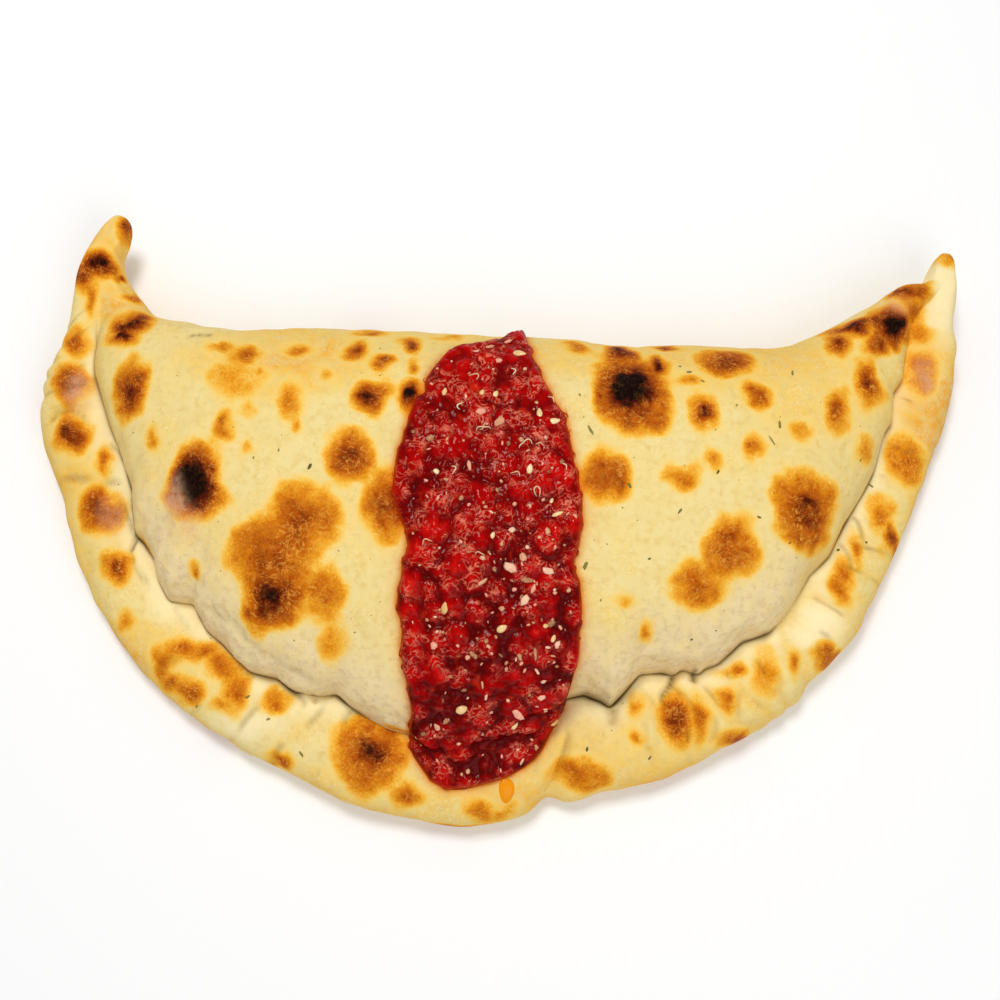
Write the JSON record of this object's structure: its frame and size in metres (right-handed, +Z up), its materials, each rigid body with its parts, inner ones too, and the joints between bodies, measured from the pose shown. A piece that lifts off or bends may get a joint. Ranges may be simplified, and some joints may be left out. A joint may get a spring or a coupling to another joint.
{
  "type": "calzone",
  "caption": "Baked calzone: a folded half-round of dough with a crimped rim, a small horn at each end and a band of tomato sauce from the fold to the rim.",
  "frame": {"origin": "middle of the flat underside's bounding box, on the surface the calzone rests on", "axes": "+X along the fold, +Y towards the fold (so the round crimped rim faces -Y), +Z up"},
  "size_m": [0.3304, 0.2154, 0.0583],
  "materials": {
    "baked_dough": "matte baked bread crust with toasted spots",
    "tomato_sauce": "wet, glossy crushed tomato"
  },
  "bodies": {
    "root": {"crust": "baked_dough", "tomato_sauce": "tomato_sauce"}
  },
  "joints": []
}
